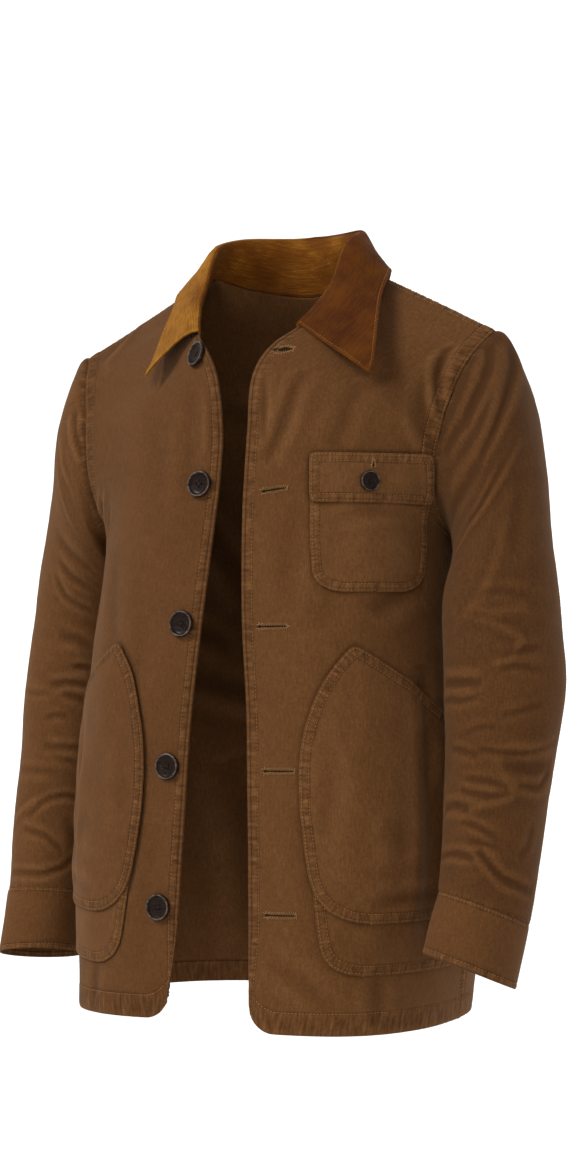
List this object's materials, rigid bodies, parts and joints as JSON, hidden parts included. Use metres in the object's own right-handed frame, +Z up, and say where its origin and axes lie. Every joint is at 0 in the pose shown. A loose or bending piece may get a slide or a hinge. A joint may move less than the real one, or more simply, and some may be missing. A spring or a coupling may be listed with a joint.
{
  "type": "barn jacket",
  "caption": "Barn jacket in brown canvas, worn open, with a corduroy collar, patch pockets, a flapped chest pocket and dark round buttons.",
  "frame": {"origin": "midway between the neck ends of the two shoulder seams, where the wearer's shoulders carry the jacket", "axes": "+Z up; the front faces -Y; +X is the wearer's left"},
  "size_m": [0.6194, 0.3422, 0.7572],
  "materials": {
    "canvas": "matte brushed cotton canvas",
    "corduroy": "fine-wale corduroy with a soft sheen",
    "button": "semi-gloss dark brown resin"
  },
  "bodies": {
    "root": {"back": "canvas", "front_left": "canvas", "front_right": "canvas", "sleeve_front_left": "canvas", "sleeve_back_left": "canvas", "cuff_left": "canvas", "sleeve_front_right": "canvas", "sleeve_back_right": "canvas", "cuff_right": "canvas", "hip_under_left": "canvas", "hip_pocket_left": "canvas", "hip_under_right": "canvas", "hip_pocket_right": "canvas", "chest_pocket": "canvas", "chest_flap": "canvas", "collar": "corduroy", "collar_stand": "corduroy", "button_1": "button", "button_2": "button", "button_3": "button", "button_4": "button", "button_5": "button", "button_pocket": "button"}
  },
  "joints": []
}
